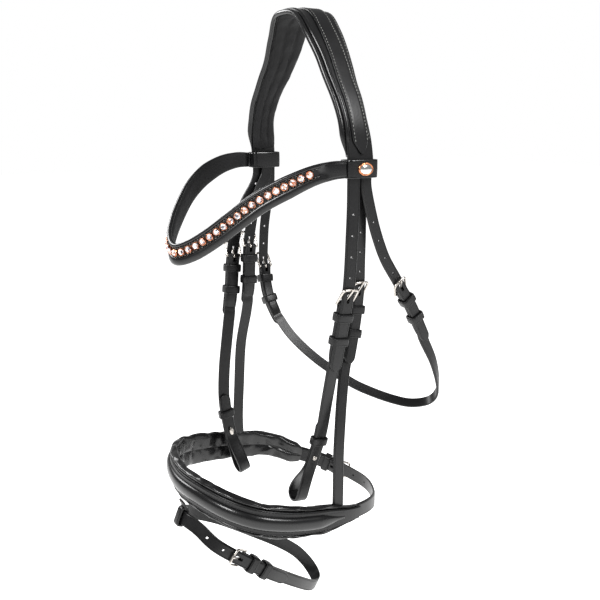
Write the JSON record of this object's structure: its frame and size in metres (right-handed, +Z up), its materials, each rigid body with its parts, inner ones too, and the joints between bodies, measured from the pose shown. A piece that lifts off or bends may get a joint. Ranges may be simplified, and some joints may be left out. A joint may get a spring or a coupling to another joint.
{
  "type": "snaffle bridle",
  "caption": "Black leather snaffle bridle with a padded crown, a swooped crystal browband, a throatlatch, cheekpieces with bit loops, a padded noseband and a flash strap.",
  "frame": {"origin": "middle of the crown's underside, where the bridle rests on the horse's poll", "axes": "+Z up, +X to the horse's left (the near side), so the horse faces -Y"},
  "size_m": [0.194, 0.2809, 0.6101],
  "materials": {
    "strap_leather": "satin",
    "lining_leather": "matte",
    "rolled_leather": "polished",
    "keeper_leather": "satin",
    "nickel": "polished",
    "crystal": "clear",
    "rose_copper": "polished",
    "silver_dome": "polished"
  },
  "bodies": {
    "headpiece": {"crown_leather": "strap_leather", "crown_padding": "lining_leather", "crown_rolled_edge": "rolled_leather", "crown_overlays": "strap_leather"},
    "browband": {"browband_strap": "strap_leather", "browband_lining": "lining_leather", "browband_loops": "strap_leather", "crystal_cups": "rose_copper", "crystals": "crystal", "button_rims": "rose_copper", "button_domes": "silver_dome"},
    "noseband": {"noseband_billet_near": "strap_leather", "noseband_billet_off": "strap_leather", "noseband_hanger_near": "strap_leather", "noseband_hanger_off": "strap_leather", "hanger_buckle_near": "nickel", "hanger_buckle_off": "nickel", "hanger_keepers": "keeper_leather", "noseband_leather": "strap_leather", "noseband_roll": "rolled_leather", "noseband_padding": "lining_leather", "noseband_rear_strap": "strap_leather", "rear_buckle": "nickel", "rear_keeper": "keeper_leather"},
    "throat": {"throat_billet_near": "strap_leather", "throat_billet_off": "strap_leather", "throatlatch": "strap_leather", "throat_buckle_near": "nickel", "throat_buckle_off": "nickel", "throat_keepers": "keeper_leather"},
    "flash": {"flash_loop": "strap_leather", "flash_strap": "strap_leather", "flash_buckle": "nickel", "flash_keepers": "keeper_leather"},
    "cheek_near": {"cheek_billet_near": "strap_leather", "cheekpiece_near": "strap_leather", "cheek_buckle_near": "nickel", "cheek_keepers_near": "keeper_leather", "hook_stud_near": "nickel"},
    "cheek_off": {"cheek_billet_off": "strap_leather", "cheekpiece_off": "strap_leather", "cheek_buckle_off": "nickel", "cheek_keepers_off": "keeper_leather", "hook_stud_off": "nickel"},
    "pin_cheek_near": {"cheek_tongue_near": "nickel"},
    "slider_cheek_near": {"cheek_runner_near": "keeper_leather"},
    "pin_cheek_off": {"cheek_tongue_off": "nickel"},
    "slider_cheek_off": {"cheek_runner_off": "keeper_leather"},
    "pin_hanger_near": {"hanger_tongue_near": "nickel"},
    "slider_hanger_near": {"hanger_runner_near": "keeper_leather"},
    "pin_hanger_off": {"hanger_tongue_off": "nickel"},
    "slider_hanger_off": {"hanger_runner_off": "keeper_leather"},
    "pin_rear": {"rear_tongue": "nickel"},
    "slider_rear": {"rear_runner": "keeper_leather"},
    "pin_throat_near": {"throat_tongue_near": "nickel"},
    "slider_throat_near": {"throat_runner_near": "keeper_leather"},
    "pin_throat_off": {"throat_tongue_off": "nickel"},
    "slider_throat_off": {"throat_runner_off": "keeper_leather"},
    "pin_flash": {"flash_tongue": "nickel"},
    "slider_flash": {"flash_runner": "keeper_leather"}
  },
  "joints": [
    {"name": "browband_slide", "type": "slide", "parent": "headpiece", "child": "browband", "axis": [0, 0, 1], "range_m": [-0.004, 0]},
    {"name": "cheek_near_swing", "type": "hinge", "parent": "headpiece", "child": "cheek_near", "pos_m": [0.0872, -0.009, -0.1335], "axis": [0, -1, 0], "range_deg": [0, 1.5]},
    {"name": "cheek_off_swing", "type": "hinge", "parent": "headpiece", "child": "cheek_off", "pos_m": [-0.0852, -0.009, -0.1335], "axis": [0, 1, 0], "range_deg": [0, 1.5]},
    {"name": "noseband_swing", "type": "hinge", "parent": "headpiece", "child": "noseband", "pos_m": [0, -0.0005, -0.1335], "axis": [1, 0, 0], "range_deg": [0, 4]},
    {"name": "throatlatch_swing", "type": "hinge", "parent": "headpiece", "child": "throat", "pos_m": [0, 0.006, -0.1335], "axis": [1, 0, 0], "range_deg": [0, 10]},
    {"name": "flash_swing", "type": "hinge", "parent": "noseband", "child": "flash", "pos_m": [0, -0.1455, -0.4495], "axis": [1, 0, 0], "range_deg": [0, 30]},
    {"name": "cheek_near_tongue_lift", "type": "hinge", "parent": "cheek_near", "child": "pin_cheek_near", "pos_m": [0.08143, -0.01309, -0.25085], "axis": [-0.0078, 0.9947, -0.102], "range_deg": [0, 10]},
    {"name": "cheek_near_runner_slide", "type": "slide", "parent": "cheek_near", "child": "slider_cheek_near", "axis": [-0.0982, -0.1186, -0.9881], "range_m": [-0.003, 0.003]},
    {"name": "cheek_off_tongue_lift", "type": "hinge", "parent": "cheek_off", "child": "pin_cheek_off", "pos_m": [-0.08001, -0.04281, -0.22949], "axis": [0.0012, -0.9926, 0.121], "range_deg": [0, 10]},
    {"name": "cheek_off_runner_slide", "type": "slide", "parent": "cheek_off", "child": "slider_cheek_off", "axis": [0.0402, -0.1358, -0.9899], "range_m": [-0.003, 0.003]},
    {"name": "hanger_near_tongue_lift", "type": "hinge", "parent": "noseband", "child": "pin_hanger_near", "pos_m": [0.06667, 0.01066, -0.24967], "axis": [-0.0015, 0.9986, -0.052], "range_deg": [0, 10]},
    {"name": "hanger_near_runner_slide", "type": "slide", "parent": "noseband", "child": "slider_hanger_near", "axis": [0.0602, -0.2147, -0.9748], "range_m": [-0.003, 0.003]},
    {"name": "hanger_off_tongue_lift", "type": "hinge", "parent": "noseband", "child": "pin_hanger_off", "pos_m": [-0.0665, -0.03, -0.21799], "axis": [-0.0042, -0.9932, 0.1162], "range_deg": [0, 10]},
    {"name": "hanger_off_runner_slide", "type": "slide", "parent": "noseband", "child": "slider_hanger_off", "axis": [-0.0623, -0.0162, -0.9979], "range_m": [-0.003, 0.003]},
    {"name": "rear_tongue_lift", "type": "hinge", "parent": "noseband", "child": "pin_rear", "pos_m": [-0.0357, 0.0615, -0.484], "axis": [0.136, 0.0443, 0.9897], "range_deg": [0, 10]},
    {"name": "rear_runner_slide", "type": "slide", "parent": "noseband", "child": "slider_rear", "axis": [-0.692, -0.6919, 0.2058], "range_m": [-0.003, 0.003]},
    {"name": "throat_near_tongue_lift", "type": "hinge", "parent": "throat", "child": "pin_throat_near", "pos_m": [0.07712, 0.05607, -0.24807], "axis": [0.0186, 0.803, 0.5957], "range_deg": [0, 10]},
    {"name": "throat_near_runner_slide", "type": "slide", "parent": "throat", "child": "slider_throat_near", "axis": [-0.0475, 0.4886, -0.8712], "range_m": [-0.003, 0.003]},
    {"name": "throat_off_tongue_lift", "type": "hinge", "parent": "throat", "child": "pin_throat_off", "pos_m": [-0.07884, -0.00507, -0.24413], "axis": [0.0346, -0.9976, 0.0595], "range_deg": [0, 10]},
    {"name": "throat_off_runner_slide", "type": "slide", "parent": "throat", "child": "slider_throat_off", "axis": [0.3948, 0.1379, -0.9083], "range_m": [-0.003, 0.003]},
    {"name": "flash_tongue_lift", "type": "hinge", "parent": "flash", "child": "pin_flash", "pos_m": [0.035, -0.1, -0.509], "axis": [-0.0009, 0.6267, 0.7793], "range_deg": [0, 10]},
    {"name": "flash_runner_slide", "type": "slide", "parent": "flash", "child": "slider_flash", "axis": [-0.0156, 0.7778, -0.6283], "range_m": [-0.003, 0.003]}
  ]
}
